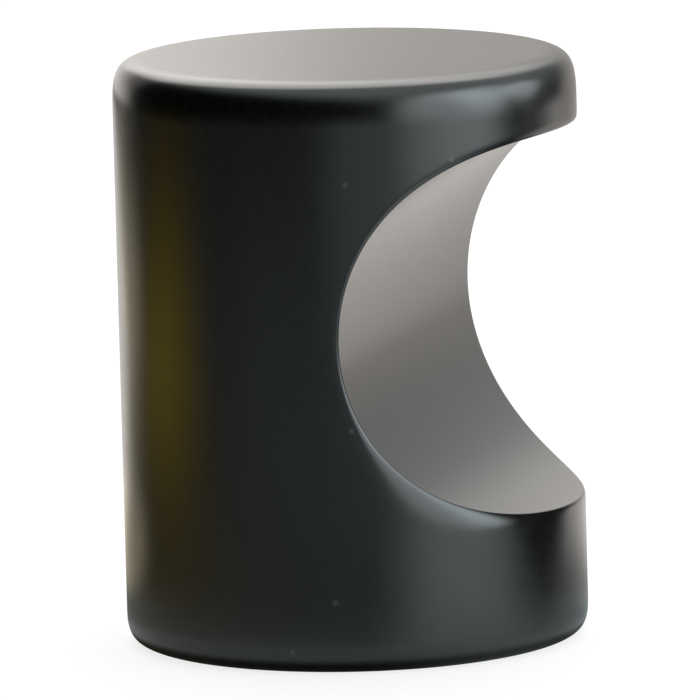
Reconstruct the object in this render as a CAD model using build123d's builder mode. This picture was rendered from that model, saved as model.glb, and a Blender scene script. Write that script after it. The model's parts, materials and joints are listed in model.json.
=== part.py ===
"""Cabinet knob with a finger scoop: one turned metal piece with a hollow milled across its side.

Frame: the origin is the centre of the base, which seats on the door or drawer front.
+Z runs along the knob's axis, away from the front, and +X points out of the finger scoop.
All sizes are in millimetres.
"""
from build123d import *
from math import radians, tan
import os

# Turned body
knob_diameter = 22.0
knob_height = 28.0
top_edge_round = 1.3
base_edge_round = 1.1

# Tapped hole for the screw that comes through the door
thread_diameter = 4.0
thread_depth = 9.0
tap_drill_diameter = 3.3
drill_runout = 2.5
drill_point_angle = 118.0
hole_mouth_chamfer = 0.4

# Finger scoop, milled straight across with its axis along Y
scoop_radius = 9.0
scoop_lip = 3.3
scoop_web = 0.7
scoop_rim_round = 0.6

# Worked out from the sizes above
knob_radius = knob_diameter / 2
thread_radius = thread_diameter / 2
tap_drill_radius = tap_drill_diameter / 2
drill_depth = thread_depth + drill_runout
drill_point_depth = tap_drill_radius / tan(radians(drill_point_angle / 2))
scoop_back = thread_radius + scoop_web
scoop_axis_x = scoop_back + scoop_radius
scoop_axis_z = knob_height - scoop_lip - scoop_radius

with BuildPart() as knob:
    # Bar stock turned to size, with both end edges rounded over
    Cylinder(knob_radius, knob_height, align=(Align.CENTER, Align.CENTER, Align.MIN))
    fillet(knob.edges().group_by(Axis.Z)[-1], radius=top_edge_round)
    fillet(knob.edges().group_by(Axis.Z)[0], radius=base_edge_round)

    # Scoop for the fingertip: it runs out of both sides and leaves a lip along the top
    with BuildSketch(Plane.XZ):
        with Locations((scoop_axis_x, scoop_axis_z)):
            Circle(scoop_radius)
    extrude(amount=knob_diameter, both=True, mode=Mode.SUBTRACT)

    # The rim is one closed saddle-shaped edge around the scoop's wall, eased so that it is kind to a finger
    round_faces = knob.faces().filter_by(GeomType.CYLINDER)
    scoop_wall = round_faces.sort_by_distance((scoop_back, 0, scoop_axis_z))[0]
    fillet(scoop_wall.edges(), radius=scoop_rim_round)

    # Blind tapped hole in the base: chamfered mouth, full thread diameter, drill run-out and drill point
    with BuildSketch(Plane.XZ):
        with BuildLine():
            Polyline(
                (0, 0),
                (thread_radius + hole_mouth_chamfer, 0),
                (thread_radius, hole_mouth_chamfer),
                (thread_radius, thread_depth),
                (tap_drill_radius, thread_depth),
                (tap_drill_radius, drill_depth),
                (0, drill_depth + drill_point_depth),
                close=True,
            )
        make_face()
    revolve(axis=Axis.Z, mode=Mode.SUBTRACT)

knob.part.label = "knob_body"

os.makedirs("parts", exist_ok=True)
export_step(knob.part, "parts/knob_body.step")
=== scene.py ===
"""Satin-black cabinet knob with a finger scoop: its finish, the thread in its hole, studio and camera.

Everything is in metres, in the knob's own frame: the base centre is the origin, +Z runs up the knob's axis
and +X points out of the finger scoop.
"""
import bpy
import json
import math
from collections import namedtuple
from mathutils import Matrix, Vector, geometry


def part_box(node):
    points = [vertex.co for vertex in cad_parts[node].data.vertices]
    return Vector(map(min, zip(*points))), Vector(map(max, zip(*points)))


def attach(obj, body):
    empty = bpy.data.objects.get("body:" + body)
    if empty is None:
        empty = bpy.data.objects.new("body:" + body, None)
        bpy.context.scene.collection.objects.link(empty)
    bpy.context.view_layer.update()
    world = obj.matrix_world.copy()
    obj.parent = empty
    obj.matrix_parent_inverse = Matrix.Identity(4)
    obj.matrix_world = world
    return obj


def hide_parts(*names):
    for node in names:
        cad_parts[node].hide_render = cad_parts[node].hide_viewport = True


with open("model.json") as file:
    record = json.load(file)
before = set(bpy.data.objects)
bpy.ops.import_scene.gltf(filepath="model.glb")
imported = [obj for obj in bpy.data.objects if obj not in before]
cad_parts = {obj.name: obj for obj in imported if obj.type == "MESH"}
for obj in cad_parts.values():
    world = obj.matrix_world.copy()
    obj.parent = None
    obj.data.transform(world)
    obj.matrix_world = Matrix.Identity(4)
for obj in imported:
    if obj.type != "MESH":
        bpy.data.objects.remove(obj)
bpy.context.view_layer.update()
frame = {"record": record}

MM = 0.001

# The knob's own sizes, from the frame
knob_low, knob_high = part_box("knob_body")
knob_height = knob_high.z - knob_low.z
knob_radius = (knob_high.y - knob_low.y) / 2
screw_hole = next(mount for mount in frame["record"]["mounts"] if mount["name"] == "screw_hole")
thread_radius = screw_hole["dims"]["r_mm"] * MM
thread_length = screw_hole["dims"]["length_mm"] * MM

# Finger scoop: a round hollow across the knob, with its axis along Y
scoop_radius = 9.0 * MM
scoop_lip = 3.3 * MM
scoop_web = 0.7 * MM
scoop_back = thread_radius + scoop_web
scoop_axis_x = scoop_back + scoop_radius
scoop_axis_z = knob_height - scoop_lip - scoop_radius

# Eased edges, polished so that they start softly on the wall: how far the easing reaches along each of the
# two surfaces from their sharp corner, and how close to that corner it is held
Easing = namedtuple("Easing", "wall wall_hold other_hold other")
top_easing = Easing(2.1 * MM, 0.40 * MM, 0.30 * MM, 1.5 * MM)
base_easing = Easing(1.5 * MM, 0.35 * MM, 0.35 * MM, 1.4 * MM)
rim_easing = Easing(0.45 * MM, 0.05 * MM, 0.04 * MM, 0.18 * MM)

# Softer shoulder of the rim, and how closely it keeps to its place
shoulder_easing = Easing(1.8 * MM, 0.60 * MM, 0.20 * MM, 0.28 * MM)
shoulder_focus = 4

# Slightly domed top: how far it falls from its middle to its edge, and how late it starts to fall
top_crown = 0.10 * MM
crown_power = 4

# Blind tapped hole in the base
hole_mouth_chamfer = 0.4 * MM
hole_mouth_radius = thread_radius + hole_mouth_chamfer
thread_depth = 9.0 * MM
tap_drill_radius = 1.65 * MM
drill_depth = 11.5 * MM
drill_point_angle = math.radians(118)
drill_point_depth = drill_depth + tap_drill_radius / math.tan(drill_point_angle / 2)

# Fineness of the skin
easing_steps = 20
rim_quarter = 64
rim_stations = 4 * rim_quarter
back_columns = 112
wall_rows = 10
top_rings = 8
scoop_columns = 24

# Screw thread, M4 coarse: a ridge that grows from a thin end, and thins out again at its other end
thread_start = hole_mouth_chamfer
thread_pitch = 0.7 * MM
thread_crest_radius = tap_drill_radius
thread_crest_width = 0.16 * MM
thread_root_width = 0.60 * MM
thread_root_sink = 0.005 * MM
thread_runout_turns = 0.5
thread_end_share = 0.02
thread_steps_per_turn = 48

# Range that most of a noise lies in
noise_low = 0.3
noise_high = 0.7

# Coat: darkest and palest tone of its mottle, sheen, and its very fine skin
coat_tones = (0.001, 0.007)
coat_roughness = (0.21, 0.23)
coat_ior = 1.75
coat_skin_depth = 0.0006 * MM
coat_grain = 0.16 * MM
coat_blotch = 0.55 * MM

# Specks of dust on the wall: degrees round the knob, and height
speck_radius = 0.21 * MM
speck_tone = 0.06
specks = (
    (-73, 23.2 * MM),
    (-46, 24.1 * MM),
    (-73, 11.6 * MM),
    (-78, 3.5 * MM),
    (-89, 1.1 * MM),
)

# Cut metal of the thread
metal_tones = (0.50, 0.60)
metal_roughness = (0.28, 0.42)
tool_mark_depth = 0.002 * MM
tool_mark_grain = 0.05 * MM
tool_mark_blotch = 0.4 * MM

# Camera, as the photograph was taken: a long lens from a little above, slightly towards the scoop.
# Its angles are in degrees
camera_azimuth = 17.4
camera_elevation = 8.8
camera_roll = 1.5
camera_distance = 0.55
camera_lens = 595.0
camera_sensor = 36.0
camera_clip_start = 0.01
camera_clip_end = 20.0
camera_aim_left = 0.04 * MM
camera_aim_below = 0.26 * MM

# Colours of the light
warm_white = (1.0, 0.95, 0.90)
cool_white = (0.88, 0.98, 1.0)
sand = (1.0, 0.88, 0.62)
straw = (1.0, 0.70, 0.05)

# Studio lights: degrees right of the camera, degrees above the table, inner and outer half angle, strength
# and colour
soft_lights = (
    # Behind the knob: low, to the left, high, and a small one
    (180, -20, 35, 55, 1.0, warm_white),
    (-155, 15, 20, 30, 0.35, warm_white),
    (180, 55, 20, 40, 2.6, warm_white),
    (188, 17, 3, 11, 0.55, warm_white),
    # Overhead, to the right
    (90, 70, 35, 80, 0.95, cool_white),
    # On the right
    (75, 15, 8, 24, 1.5, cool_white),
    (101, 10, 6, 16, 2.1, cool_white),
    (56, 0, 18, 38, 1.9, cool_white),
)

# Round sheets that paint shade into the knob's reflections only: degrees right of the camera, distance,
# height, inner and outer radius, and density
painted_shade_flags = (
    (82, 19 * MM, 10.5 * MM, 6.5 * MM, 10 * MM, 1.0),
    (145, 24 * MM, 38 * MM, 12 * MM, 31 * MM, 0.36),
)

# Table top, pale to the camera, a hair below the base
table_size = 1.6
table_gap = 0.01 * MM
table_colour = 0.20
table_lift = 0.82

# The knob's reflections see the table glow with painted light in round spots, out to its edge: how far right
# and in front of the knob each lies, its inner and outer radius, its level and its colour. A level below 0 is
# painted shade
table_edge = (0 * MM, 0 * MM, 210 * MM, 330 * MM)
painted_light_patches = (
    # A faint painted glow over the whole table
    (*table_edge, 0.04, cool_white),
    # In front
    (-15 * MM, 100 * MM, 40 * MM, 120 * MM, 0.22, cool_white),
    (30 * MM, 215 * MM, 30 * MM, 110 * MM, 0.50, cool_white),
    (-125 * MM, 70 * MM, 30 * MM, 90 * MM, 0.10, cool_white),
    (70 * MM, 190 * MM, 40 * MM, 130 * MM, 0.20, cool_white),
    # In front on the right
    (150 * MM, 100 * MM, 50 * MM, 110 * MM, 0.90, cool_white),
    (220 * MM, 125 * MM, 30 * MM, 100 * MM, 1.30, cool_white),
    # Close to the knob on the right
    (40 * MM, 35 * MM, 10 * MM, 38 * MM, 0.90, cool_white),
    (16 * MM, 17 * MM, 6 * MM, 17 * MM, 0.38, cool_white),
    (15 * MM, -3 * MM, 4 * MM, 10 * MM, 0.22, cool_white),
    # Behind, and painted shades behind on the right
    (60 * MM, -150 * MM, 125 * MM, 155 * MM, 1.1, warm_white),
    (140 * MM, -100 * MM, 5 * MM, 45 * MM, 0.75, warm_white),
    (150 * MM, -200 * MM, 0 * MM, 200 * MM, -0.34, warm_white),
    (185 * MM, -40 * MM, 15 * MM, 60 * MM, -0.70, warm_white),
    # Behind on the left
    (-85 * MM, -90 * MM, 20 * MM, 45 * MM, 0.75, sand),
    (-95 * MM, -145 * MM, 5 * MM, 35 * MM, 0.55, sand),
    (-50 * MM, -55 * MM, 8 * MM, 28 * MM, 0.35, sand),
    (-25 * MM, -30 * MM, 13 * MM, 23 * MM, 0.55, sand),
    # On the left
    (-105 * MM, -15 * MM, 0 * MM, 68 * MM, 0.74, straw),
    (-40 * MM, 5 * MM, 5 * MM, 40 * MM, 0.12, straw),
    # Round the foot, with a painted shadow where it stands
    (0 * MM, 0 * MM, 17 * MM, 30 * MM, 0.15, cool_white),
    (-2 * MM, 4 * MM, 12.5 * MM, 16 * MM, 0.15, cool_white),
    (0 * MM, 0 * MM, 10.8 * MM, 12 * MM, -0.37, cool_white),
    # Painted light under the base
    (0 * MM, 0 * MM, 8 * MM, 9.4 * MM, 1.00, cool_white),
)


def new_object(name, data):
    """Puts a mesh or a camera into the scene."""
    thing = bpy.data.objects.new(name, data)
    bpy.context.scene.collection.objects.link(thing)
    return thing


# Shader building blocks

def new_node(tree, kind, **values):
    """Adds a node; plain keys set its properties, and keys that are input names set those inputs."""
    node = tree.nodes.new(kind)
    for key, value in values.items():
        if key in node.bl_rna.properties:
            setattr(node, key, value)
        else:
            node.inputs[key.replace("_", " ")].default_value = value
    return node


def new_material(name):
    """A material whose node tree holds only an output."""
    material = bpy.data.materials.new(name)
    material.use_nodes = True
    tree = material.node_tree
    tree.nodes.clear()
    output = new_node(tree, "ShaderNodeOutputMaterial")
    return material, tree, output


def new_finish(name):
    """A material with a Principled shader."""
    material, tree, output = new_material(name)
    shader = new_node(tree, "ShaderNodeBsdfPrincipled")
    tree.links.new(shader.outputs["BSDF"], output.inputs["Surface"])
    return material, tree, shader


def grain_group():
    """Node group: a fine grain and broader blotches, both about 0.5, at sizes given in metres."""
    group = bpy.data.node_groups.new("grain", "ShaderNodeTree")
    group.interface.new_socket("Place", in_out="INPUT", socket_type="NodeSocketVector")
    group.interface.new_socket("Grain Size", in_out="INPUT", socket_type="NodeSocketFloat")
    group.interface.new_socket("Blotch Size", in_out="INPUT", socket_type="NodeSocketFloat")
    group.interface.new_socket("Grain", in_out="OUTPUT", socket_type="NodeSocketFloat")
    group.interface.new_socket("Blotch", in_out="OUTPUT", socket_type="NodeSocketFloat")
    given = new_node(group, "NodeGroupInput")
    result = new_node(group, "NodeGroupOutput")
    for size, output in (("Grain Size", "Grain"), ("Blotch Size", "Blotch")):
        fineness = new_node(group, "ShaderNodeMath", operation="DIVIDE")
        fineness.inputs[0].default_value = 1.0
        noise = new_node(group, "ShaderNodeTexNoise", Detail=1.0, Roughness=0.5)
        group.links.new(given.outputs[size], fineness.inputs[1])
        group.links.new(given.outputs["Place"], noise.inputs["Vector"])
        group.links.new(fineness.outputs["Value"], noise.inputs["Scale"])
        group.links.new(noise.outputs["Fac"], result.inputs[output])
    return group


def new_grain(tree, place, grain_size, blotch_size):
    """The grain group, set into a material."""
    node = new_node(tree, "ShaderNodeGroup", node_tree=grain)
    node.inputs["Grain Size"].default_value = grain_size
    node.inputs["Blotch Size"].default_value = blotch_size
    tree.links.new(place, node.inputs["Place"])
    return node


def stretch(tree, value, low, high):
    """Spreads a noise over a range."""
    spread = new_node(
        tree, "ShaderNodeMapRange",
        From_Min=noise_low, From_Max=noise_high, To_Min=low, To_Max=high,
    )
    tree.links.new(value, spread.inputs["Value"])
    return spread.outputs["Result"]


def dust(tree, place):
    """Specks of dust on the wall: 1 on a speck and 0 beside it."""
    nearest = None
    for degrees, height in specks:
        distance = new_node(tree, "ShaderNodeVectorMath", operation="DISTANCE")
        distance.inputs[1].default_value = spun(knob_radius, height, (1, 0), math.radians(degrees)).place
        tree.links.new(place, distance.inputs[0])
        if nearest is None:
            nearest = distance.outputs["Value"]
        else:
            nearer = new_node(tree, "ShaderNodeMath", operation="MINIMUM")
            tree.links.new(nearest, nearer.inputs[0])
            tree.links.new(distance.outputs["Value"], nearer.inputs[1])
            nearest = nearer.outputs["Value"]
    speck = new_node(
        tree, "ShaderNodeMapRange", interpolation_type="SMOOTHSTEP",
        From_Min=0.0, From_Max=speck_radius, To_Min=1.0, To_Max=0.0,
    )
    tree.links.new(nearest, speck.inputs["Value"])
    return speck.outputs["Result"]


# Finishes

def black_coat():
    """Satin black coating: near-black, a soft sheen, a faint mottle, a fine skin and a few specks of dust."""
    material, tree, shader = new_finish("black_coat")
    place = new_node(tree, "ShaderNodeTexCoord").outputs["Object"]
    mottle = new_grain(tree, place, coat_grain, coat_blotch)
    both = new_node(tree, "ShaderNodeMath", operation="ADD")
    tone = new_node(
        tree, "ShaderNodeMapRange",
        From_Min=2 * noise_low, From_Max=2 * noise_high, To_Min=coat_tones[0], To_Max=coat_tones[1],
    )
    dusty = new_node(tree, "ShaderNodeMix", data_type="FLOAT")
    dusty.inputs["B"].default_value = speck_tone
    skin = new_node(tree, "ShaderNodeBump", Strength=1.0, Distance=coat_skin_depth)
    tree.links.new(mottle.outputs["Grain"], both.inputs[0])
    tree.links.new(mottle.outputs["Blotch"], both.inputs[1])
    tree.links.new(both.outputs["Value"], tone.inputs["Value"])
    tree.links.new(dust(tree, place), dusty.inputs["Factor"])
    tree.links.new(tone.outputs["Result"], dusty.inputs["A"])
    tree.links.new(dusty.outputs["Result"], shader.inputs["Base Color"])
    tree.links.new(stretch(tree, mottle.outputs["Blotch"], *coat_roughness), shader.inputs["Roughness"])
    tree.links.new(mottle.outputs["Grain"], skin.inputs["Height"])
    tree.links.new(skin.outputs["Normal"], shader.inputs["Normal"])
    shader.inputs["IOR"].default_value = coat_ior
    return material


def bare_metal():
    """Cut aluminium of the tapped thread, with fine tool marks."""
    material, tree, shader = new_finish("bare_metal")
    place = new_node(tree, "ShaderNodeTexCoord").outputs["Object"]
    marks = new_grain(tree, place, tool_mark_grain, tool_mark_blotch)
    score = new_node(tree, "ShaderNodeBump", Strength=1.0, Distance=tool_mark_depth)
    tree.links.new(stretch(tree, marks.outputs["Blotch"], *metal_tones), shader.inputs["Base Color"])
    tree.links.new(stretch(tree, marks.outputs["Grain"], *metal_roughness), shader.inputs["Roughness"])
    tree.links.new(marks.outputs["Grain"], score.inputs["Height"])
    tree.links.new(score.outputs["Normal"], shader.inputs["Normal"])
    shader.inputs["Metallic"].default_value = 1.0
    return material


# Knob skin

Corner = namedtuple("Corner", "place normal")
RimCurve = namedtuple("RimCurve", "held wall_normal scoop_normal wall_angle scoop_climb")


class Skin:
    """A mesh made of sheets: grids of corners, each a place and its normal, welded where they meet."""

    def __init__(self):
        self.known = {}
        self.points = []
        self.faces = []
        self.normals = []

    def point(self, place):
        """The number of the point at a place, which is added if it is new."""
        key = tuple(place)
        if key not in self.known:
            self.known[key] = len(self.points)
            self.points.append(place)
        return self.known[key]

    def face(self, corners):
        """Adds one face, turned to the side that its normals point to; corners that meet count once."""
        around = {self.point(place): normal for place, normal in corners}
        if len(around) < 3:
            return
        order = list(around)
        outward = sum(around.values(), Vector())
        if geometry.normal([self.points[index] for index in order]).dot(outward) < 0:
            order.reverse()
        self.faces.append(order)
        self.normals.extend(around[index] for index in order)

    def sheet(self, rows, closed):
        """Joins rows of corners; a closed sheet runs on from each row's last corner to its first."""
        for lower, upper in zip(rows, rows[1:]):
            for this in range(len(lower) if closed else len(lower) - 1):
                beside = (this + 1) % len(lower)
                self.face((lower[this], lower[beside], upper[beside], upper[this]))

    def piece(self, name):
        """The finished piece, smooth across its faces."""
        mesh = bpy.data.meshes.new(name)
        mesh.from_pydata(self.points, [], self.faces, shade_flat=False)
        mesh.normals_split_custom_set(self.normals)
        return new_object(name, mesh)


def curve(start, start_hold, end_hold, end, part):
    """The place and the direction at one part, 0 to 1, of a smooth curve held by two points."""
    rest = 1 - part
    place = (
        start * rest ** 3 + start_hold * (3 * rest ** 2 * part)
        + end_hold * (3 * rest * part ** 2) + end * part ** 3
    )
    direction = (
        (start_hold - start) * rest ** 2 + (end_hold - start_hold) * (2 * rest * part)
        + (end - end_hold) * part ** 2
    )
    return place, direction.normalized()


def spun(radius, height, slope, angle):
    """A corner of a turned surface; slope is the normal's direction, outwards and up."""
    cosine = math.cos(angle)
    sine = math.sin(angle)
    normal = Vector((slope[0] * cosine, slope[0] * sine, slope[1])).normalized()
    return Corner(Vector((radius * cosine, radius * sine, height)), normal)


def scoop_corner(climb, across):
    """A corner of the scoop's surface, at an angle above its axis's level and a distance across the knob."""
    normal = Vector((math.cos(climb), 0, -math.sin(climb)))
    return Corner(Vector((scoop_axis_x, across, scoop_axis_z)) - normal * scoop_radius, normal)


def turned_edge(easing, height, inwards, angles):
    """Rows of an eased end edge, from the wall to the end; inwards is -1 at the top and 1 at the base."""
    rows = []
    for step in range(easing_steps + 1):
        place, direction = curve(
            Vector((knob_radius, height + inwards * easing.wall)),
            Vector((knob_radius, height + inwards * easing.wall_hold)),
            Vector((knob_radius - easing.other_hold, height)),
            Vector((knob_radius - easing.other, height)),
            step / easing_steps,
        )
        slope = (-inwards * direction.y, inwards * direction.x)
        rows.append([spun(place.x, place.y, slope, angle) for angle in angles])
    return rows


def crowned(corner):
    """A corner of the top, let down to where the slight dome has fallen."""
    place, normal = corner
    radius = place.xy.length
    fall = top_crown * (radius / knob_radius) ** crown_power
    lean = Vector((place.x, place.y, 0)) * (crown_power * fall / radius ** 2)
    return Corner(place - Vector((0, 0, fall)), (normal + lean * normal.z).normalized())


def rim_easing_at(turn):
    """The rim's easing at one turn round it: softest on one shoulder, between the foot and the -Y side."""
    share = (2 * max(-math.sin(turn), 0.0) * max(math.cos(turn), 0.0)) ** shoulder_focus
    return Easing(*(rim + (shoulder - rim) * share for rim, shoulder in zip(rim_easing, shoulder_easing)))


def rim_curve(turn):
    """The easing across the scoop's rim at one turn round it: 0 at the middle of its foot, pi under the lip.

    Gives the four points that hold the curve, the normals of the wall and of the scoop at its two ends, and
    where on the wall and on the scoop those ends lie.
    """
    easing = rim_easing_at(turn)
    angle = math.acos(scoop_back / knob_radius) * math.sin(turn)
    reach = (scoop_axis_x - knob_radius * math.cos(angle)) / scoop_radius
    climb = math.copysign(math.acos(min(reach, 1.0)), -math.cos(turn))
    wall_normal = Vector((math.cos(angle), math.sin(angle), 0))
    scoop_normal = Vector((math.cos(climb), 0, -math.sin(climb)))
    between = wall_normal.dot(scoop_normal)

    # Along the wall, away from the scoop
    away = (wall_normal * between - scoop_normal).normalized()
    round_share = away.dot(Vector((-math.sin(angle), math.cos(angle), 0)))
    wall_angle = angle + easing.wall * round_share / knob_radius
    corner_z = scoop_axis_z + scoop_radius * math.sin(climb)
    wall_end = spun(knob_radius, corner_z + easing.wall * away.z, (1, 0), wall_angle)
    back = -Vector((-math.sin(wall_angle) * round_share, math.cos(wall_angle) * round_share, away.z))
    wall_hold = wall_end.place + back * (easing.wall - easing.wall_hold)

    # Along the scoop, into the knob
    inward = (scoop_normal * between - wall_normal).normalized()
    climb_share = inward.dot(Vector((math.sin(climb), 0, math.cos(climb))))
    scoop_climb = climb + easing.other * climb_share / scoop_radius
    corner_y = knob_radius * math.sin(angle)
    scoop_end = scoop_corner(scoop_climb, corner_y + easing.other * inward.y)
    back = -Vector((math.sin(scoop_climb) * climb_share, inward.y, math.cos(scoop_climb) * climb_share))
    scoop_hold = scoop_end.place + back * (easing.other - easing.other_hold)

    held = (wall_end.place, wall_hold, scoop_hold, scoop_end.place)
    return RimCurve(held, wall_end.normal, scoop_end.normal, wall_angle, scoop_climb)


def rim_rows(rim):
    """Rows of the eased rim, from the wall into the scoop."""
    lines = [
        [curve(*across.held, step / easing_steps) for step in range(easing_steps + 1)]
        for across in rim
    ]
    rows = []
    for step in range(easing_steps + 1):
        row = []
        for station, across in enumerate(rim):
            place, direction = lines[station][step]
            along = lines[(station + 1) % rim_stations][step][0] - lines[station - 1][step][0]
            normal = direction.cross(along).normalized()
            if normal.dot(across.wall_normal + across.scoop_normal) < 0:
                normal.negate()
            if step == 0:
                normal = across.wall_normal
            if step == easing_steps:
                normal = across.scoop_normal
            row.append(Corner(place, normal))
        rows.append(row)
    return rows


def scoop_rows(rim, rim_side):
    """Rows of the scoop: level lines across it that shrink to a point at its foot and under the lip."""
    rows = []
    for station in range(2 * rim_quarter + 1):
        near = rim_side[station]
        far = rim_side[-station]
        if far is near:
            rows.append([near] * (scoop_columns + 1))
            continue
        width = far.place.y - near.place.y
        across = [near.place.y + width * column / scoop_columns for column in range(1, scoop_columns)]
        rows.append([near] + [scoop_corner(rim[station].scoop_climb, place) for place in across] + [far])
    return rows


def turned_body(skin, rim, rim_side):
    """Adds the wall, in columns that end on the rim in front and run straight up behind, and both ends.

    Gives the angles of the base's columns and the innermost row of its eased edge.
    """
    side = rim[rim_quarter].wall_angle
    behind = [
        side + (2 * math.pi - 2 * side) * column / back_columns
        for column in range(1, back_columns)
    ]
    middle = [spun(knob_radius, scoop_axis_z, (1, 0), angle) for angle in behind]
    foot = range(-rim_quarter, rim_quarter + 1)
    lip = range(3 * rim_quarter, rim_quarter - 1, -1)
    base_angles = [rim[station].wall_angle for station in foot] + behind
    top_angles = [rim[station].wall_angle for station in lip] + behind
    base_rows = turned_edge(base_easing, 0, 1, base_angles)
    top_rows = turned_edge(top_easing, knob_height, -1, top_angles)
    for ring in range(1, top_rings):
        radius = (knob_radius - top_easing.other) * (1 - ring / top_rings)
        top_rows.append([spun(radius, knob_height, (0, 1), angle) for angle in top_angles])
    top_rows = [[crowned(corner) for corner in row] for row in top_rows]
    for half, angles, edge_rows in ((foot, base_angles, base_rows), (lip, top_angles, top_rows)):
        rim_row = [rim_side[station] for station in half] + middle
        wall = [edge_rows[0]]
        for row in range(1, wall_rows):
            heights = [
                low.place.z + (high.place.z - low.place.z) * row / wall_rows
                for low, high in zip(edge_rows[0], rim_row)
            ]
            wall.append([
                spun(knob_radius, height, (1, 0), angle)
                for height, angle in zip(heights, angles)
            ])
        skin.sheet(wall + [rim_row], closed=True)
        skin.sheet(edge_rows, closed=True)
    skin.face(top_rows[-1])
    return base_angles, base_rows[-1]


def tapped_hole(skin, angles, base_edge):
    """Adds the flat base and the screw hole in it: chamfer, thread wall, tap drill and drill point."""
    skin.sheet([base_edge, [spun(hole_mouth_radius, 0, (0, -1), angle) for angle in angles]], closed=True)
    outline = (
        (hole_mouth_radius, 0),
        (thread_radius, hole_mouth_chamfer),
        (thread_radius, thread_depth),
        (tap_drill_radius, thread_depth),
        (tap_drill_radius, drill_depth),
        (0, drill_point_depth),
    )
    for (radius, height), (next_radius, next_height) in zip(outline, outline[1:]):
        slope = (height - next_height, next_radius - radius)
        skin.sheet([
            [spun(radius, height, slope, angle) for angle in angles],
            [spun(next_radius, next_height, slope, angle) for angle in angles],
        ], closed=True)


def knob_skin():
    """The knob's whole surface: eased rim, scoop, turned wall and ends, and screw hole."""
    skin = Skin()
    rim = [rim_curve(2 * math.pi * station / rim_stations) for station in range(rim_stations)]
    eased = rim_rows(rim)
    skin.sheet(eased, closed=True)
    skin.sheet(scoop_rows(rim, eased[-1]), closed=False)
    base_angles, base_edge = turned_body(skin, rim, eased[0])
    tapped_hole(skin, base_angles, base_edge)
    piece = skin.piece("knob")
    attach(piece, "root")
    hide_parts("knob_body")
    return piece


# Screw thread

def thread_section(grow):
    """The ridge's outline, as radii and rises about its middle, grown to a share of its full height."""
    root_radius = thread_radius + thread_root_sink
    crest_radius = thread_radius - (thread_radius - thread_crest_radius) * grow
    return (
        (root_radius, -thread_root_width / 2),
        (crest_radius, -thread_crest_width / 2),
        (crest_radius, thread_crest_width / 2),
        (root_radius, thread_root_width / 2),
    )


def screw_thread():
    """One closed helical ridge that stands on the wall of the screw hole."""
    turns = thread_length / thread_pitch
    steps = round(turns * thread_steps_per_turn)
    corners = len(thread_section(1.0))
    points = []
    faces = []
    for step in range(steps + 1):
        turn = turns * step / steps
        angle = 2 * math.pi * turn
        grow = min(1.0, turn / thread_runout_turns, (turns - turn) / thread_runout_turns)
        middle = thread_start + (thread_length - thread_root_width) * step / steps + thread_root_width / 2
        for radius, rise in thread_section(max(grow, thread_end_share)):
            points.append((radius * math.cos(angle), radius * math.sin(angle), middle + rise))
    for step in range(steps):
        first = step * corners
        after = first + corners
        for corner in range(corners):
            beside = (corner + 1) % corners
            faces.append((first + corner, first + beside, after + beside, after + corner))
    faces.append(tuple(reversed(range(corners))))
    faces.append(tuple(range(steps * corners, steps * corners + corners)))
    mesh = bpy.data.meshes.new("screw_thread")
    mesh.from_pydata(points, [], faces)
    mesh.validate()
    piece = new_object("screw_thread", mesh)
    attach(piece, "root")
    return piece


# Studio

def bearing(from_camera, elevation):
    """The direction, seen from the knob, at so many degrees right of the camera and above the table."""
    azimuth = math.radians(camera_azimuth + from_camera)
    height = math.radians(elevation)
    return Vector((
        math.sin(azimuth) * math.cos(height),
        -math.cos(azimuth) * math.cos(height),
        math.sin(height),
    ))


def soft_spot(tree, place, right, front, inner, outer, level):
    """A round patch: its level in the middle, fading to 0 from the inner to the outer radius."""
    distance = new_node(tree, "ShaderNodeVectorMath", operation="DISTANCE")
    distance.inputs[1].default_value = bearing(0, 0) * front + bearing(90, 0) * right
    fade = new_node(
        tree, "ShaderNodeMapRange", interpolation_type="SMOOTHSTEP",
        From_Min=inner, From_Max=outer, To_Min=level, To_Max=0.0,
    )
    tree.links.new(place, distance.inputs[0])
    tree.links.new(distance.outputs["Value"], fade.inputs["Value"])
    return fade.outputs["Result"]


def soft_light(tree, direction, from_camera, elevation, inner, outer, strength):
    """A round light in the surround: its strength in the middle, fading to 0 between the two half angles."""
    towards = new_node(tree, "ShaderNodeVectorMath", operation="DOT_PRODUCT")
    towards.inputs[1].default_value = bearing(from_camera, elevation)
    fade = new_node(
        tree, "ShaderNodeMapRange", interpolation_type="SMOOTHSTEP",
        From_Min=math.cos(math.radians(outer)), From_Max=math.cos(math.radians(inner)),
        To_Min=0.0, To_Max=strength,
    )
    tree.links.new(direction, towards.inputs[0])
    tree.links.new(towards.outputs["Value"], fade.inputs["Value"])
    return fade.outputs["Result"]


def add_up(tree, parts):
    """The colour that parts, each a level and a colour, make together."""
    total = None
    for level, colour in parts:
        glow = new_node(tree, "ShaderNodeVectorMath", operation="MULTIPLY_ADD")
        glow.inputs[1].default_value = colour
        glow.inputs[2].default_value = (0, 0, 0)
        tree.links.new(level, glow.inputs[0])
        if total is not None:
            tree.links.new(total, glow.inputs[2])
        total = glow.outputs[0]
    return total


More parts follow.
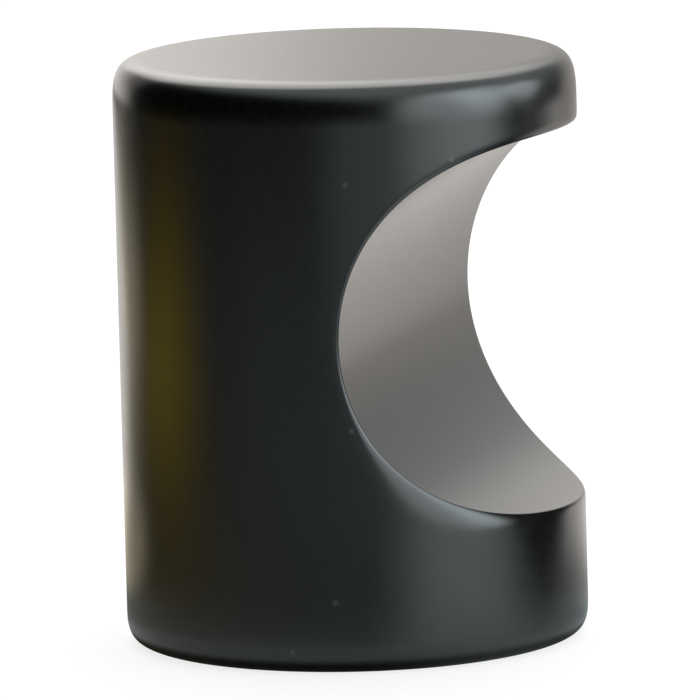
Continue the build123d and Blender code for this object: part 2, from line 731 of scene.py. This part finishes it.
def painted_light_table_finish():
    """The camera sees the table as white with the knob's shadow; the knob's reflections see its painted light
    and shade.

    From underneath it is clear, so that the base can be looked at.
    """
    material, tree, output = new_material("table_top_painted_light")
    seen = new_node(tree, "ShaderNodeBsdfPrincipled", Roughness=1.0, IOR=1.0)
    seen.inputs["Base Color"].default_value = (table_colour, table_colour, table_colour, 1.0)
    seen.inputs["Emission Color"].default_value = (1.0, 1.0, 1.0, 1.0)
    seen.inputs["Emission Strength"].default_value = table_lift
    place = new_node(tree, "ShaderNodeTexCoord").outputs["Object"]
    path = new_node(tree, "ShaderNodeLightPath")
    under = new_node(tree, "ShaderNodeNewGeometry").outputs["Backfacing"]
    beyond = new_node(tree, "ShaderNodeBsdfTransparent")
    # Painted light and painted shade: the table's glow, seen by every ray but the camera's
    painted_glow = new_node(tree, "ShaderNodeEmission", Strength=1.0)
    not_below_dark = new_node(tree, "ShaderNodeVectorMath", operation="MAXIMUM")
    edge = new_node(tree, "ShaderNodeMixShader")
    choose = new_node(tree, "ShaderNodeMixShader")
    sides = new_node(tree, "ShaderNodeMixShader")
    painted_spots = [(soft_spot(tree, place, *patch), colour) for *patch, colour in painted_light_patches]
    tree.links.new(add_up(tree, painted_spots), not_below_dark.inputs[0])
    tree.links.new(not_below_dark.outputs[0], painted_glow.inputs["Color"])
    tree.links.new(soft_spot(tree, place, *table_edge, 1.0), edge.inputs["Fac"])
    tree.links.new(beyond.outputs["BSDF"], edge.inputs[1])
    tree.links.new(painted_glow.outputs["Emission"], edge.inputs[2])
    tree.links.new(path.outputs["Is Camera Ray"], choose.inputs["Fac"])
    tree.links.new(edge.outputs["Shader"], choose.inputs[1])
    tree.links.new(seen.outputs["BSDF"], choose.inputs[2])
    tree.links.new(under, sides.inputs["Fac"])
    tree.links.new(choose.outputs["Shader"], sides.inputs[1])
    tree.links.new(beyond.outputs["BSDF"], sides.inputs[2])
    tree.links.new(sides.outputs["Shader"], output.inputs["Surface"])
    return material


def table_top_painted_light():
    """Pale table top under the knob, glowing with painted light and painted shade for the knob's reflections.
    """
    half = table_size / 2
    mesh = bpy.data.meshes.new("table_top_painted_light")
    corners = [(-half, -half, 0), (half, -half, 0), (half, half, 0), (-half, half, 0)]
    mesh.from_pydata(corners, [], [(0, 1, 2, 3)])
    mesh.materials.append(painted_light_table_finish())
    table = new_object("table_top_painted_light", mesh)
    table.location.z = knob_low.z - table_gap


def painted_shade_finish(name, inner, outer, density):
    """Painted shade: dims only what the gloss sees through a flag, with a soft edge."""
    material, tree, output = new_material(name)
    place = new_node(tree, "ShaderNodeTexCoord").outputs["Object"]
    path = new_node(tree, "ShaderNodeLightPath")
    dimmed = new_node(tree, "ShaderNodeMath", operation="MULTIPLY")
    clear = new_node(tree, "ShaderNodeBsdfTransparent")
    # Painted shade: black that only gloss rays meet
    black = new_node(tree, "ShaderNodeBsdfTransparent", Color=(0, 0, 0, 1))
    through = new_node(tree, "ShaderNodeMixShader")
    tree.links.new(soft_spot(tree, place, 0, 0, inner, outer, density), dimmed.inputs[0])
    tree.links.new(path.outputs["Is Glossy Ray"], dimmed.inputs[1])
    tree.links.new(dimmed.outputs["Value"], through.inputs["Fac"])
    tree.links.new(clear.outputs["BSDF"], through.inputs[1])
    tree.links.new(black.outputs["BSDF"], through.inputs[2])
    tree.links.new(through.outputs["Shader"], output.inputs["Surface"])
    return material


def flag(name, from_camera, distance, height, inner, outer, density):
    """A round flag that faces the knob and paints shade into its reflections."""
    across = bearing(from_camera + 90, 0) * outer
    up = Vector((0, 0, outer))
    mesh = bpy.data.meshes.new(name)
    mesh.from_pydata([-across - up, across - up, across + up, up - across], [], [(0, 1, 2, 3)])
    mesh.materials.append(painted_shade_finish(name, inner, outer, density))
    piece = new_object(name, mesh)
    piece.location = bearing(from_camera, 0) * distance + Vector((0, 0, height))


def surround():
    """World: soft lights about the knob in a dark room, with plain white behind for the camera."""
    world = bpy.data.worlds.new("surround")
    bpy.context.scene.world = world
    world.use_nodes = True
    tree = world.node_tree
    tree.nodes.clear()
    output = new_node(tree, "ShaderNodeOutputWorld")
    room = new_node(tree, "ShaderNodeBackground", Strength=1.0)
    white = new_node(tree, "ShaderNodeBackground", Color=(1, 1, 1, 1), Strength=1.0)
    choose = new_node(tree, "ShaderNodeMixShader")
    path = new_node(tree, "ShaderNodeLightPath")
    direction = new_node(tree, "ShaderNodeTexCoord").outputs["Generated"]
    lights = [(soft_light(tree, direction, *light), colour) for *light, colour in soft_lights]
    tree.links.new(add_up(tree, lights), room.inputs["Color"])
    tree.links.new(path.outputs["Is Camera Ray"], choose.inputs["Fac"])
    tree.links.new(room.outputs["Background"], choose.inputs[1])
    tree.links.new(white.outputs["Background"], choose.inputs[2])
    tree.links.new(choose.outputs["Shader"], output.inputs["Surface"])


def camera():
    """The photograph's view."""
    lens = bpy.data.cameras.new("camera")
    lens.lens = camera_lens
    lens.sensor_width = camera_sensor
    lens.clip_start = camera_clip_start
    lens.clip_end = camera_clip_end
    stand = new_object("camera", lens)
    roll = math.radians(camera_roll)
    back = bearing(0, camera_elevation)
    right = bearing(90, 0)
    up = back.cross(right)
    side = right * math.cos(roll) - up * math.sin(roll)
    top = right * math.sin(roll) + up * math.cos(roll)
    aim = Vector((0, 0, knob_height / 2)) - side * camera_aim_left - top * camera_aim_below
    turn = Matrix((side, top, back)).transposed()
    stand.matrix_world = Matrix.Translation(aim + back * camera_distance) @ turn.to_4x4()
    bpy.context.scene.camera = stand


grain = grain_group()
knob = knob_skin()
knob.data.materials.append(black_coat())

thread = screw_thread()
thread.data.materials.append(bare_metal())

table_top_painted_light()
for number, sizes in enumerate(painted_shade_flags):
    flag(f"flag_{number}", *sizes)
surround()
camera()
bpy.context.scene.view_settings.view_transform = "Standard"
